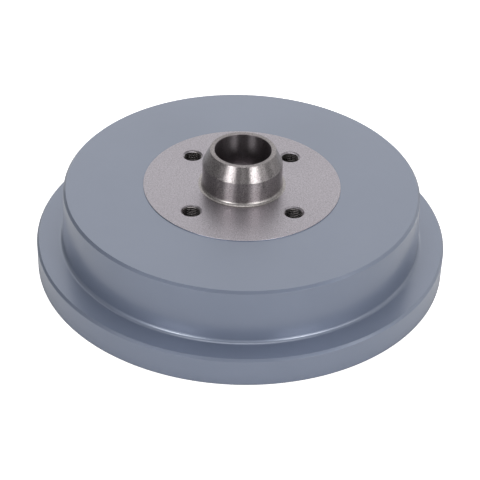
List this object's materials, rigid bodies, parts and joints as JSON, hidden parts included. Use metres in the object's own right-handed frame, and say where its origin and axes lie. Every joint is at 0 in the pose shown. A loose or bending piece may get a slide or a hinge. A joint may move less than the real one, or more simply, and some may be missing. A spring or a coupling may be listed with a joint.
{
  "type": "brake drum",
  "caption": "Round cast-iron brake drum with a wide rim flange, a closed painted face, a machined wheel face with tapped bolt holes, and a bored wheel hub.",
  "frame": {"origin": "middle of the resting face of the rim's lip, on the wheel's axis", "axes": "+Z along the wheel's axis, from the open rim to the hub's nose; -Y faces the picture's viewer, between two bolt holes"},
  "size_m": [0.2926, 0.2926, 0.0897],
  "materials": {
    "painted_iron": "grey-blue semi-gloss paint on the casting, with bare turned and bored faces at the hub, the wheel face and the friction surface"
  },
  "bodies": {
    "root": {"brake_drum": "painted_iron"}
  },
  "joints": []
}
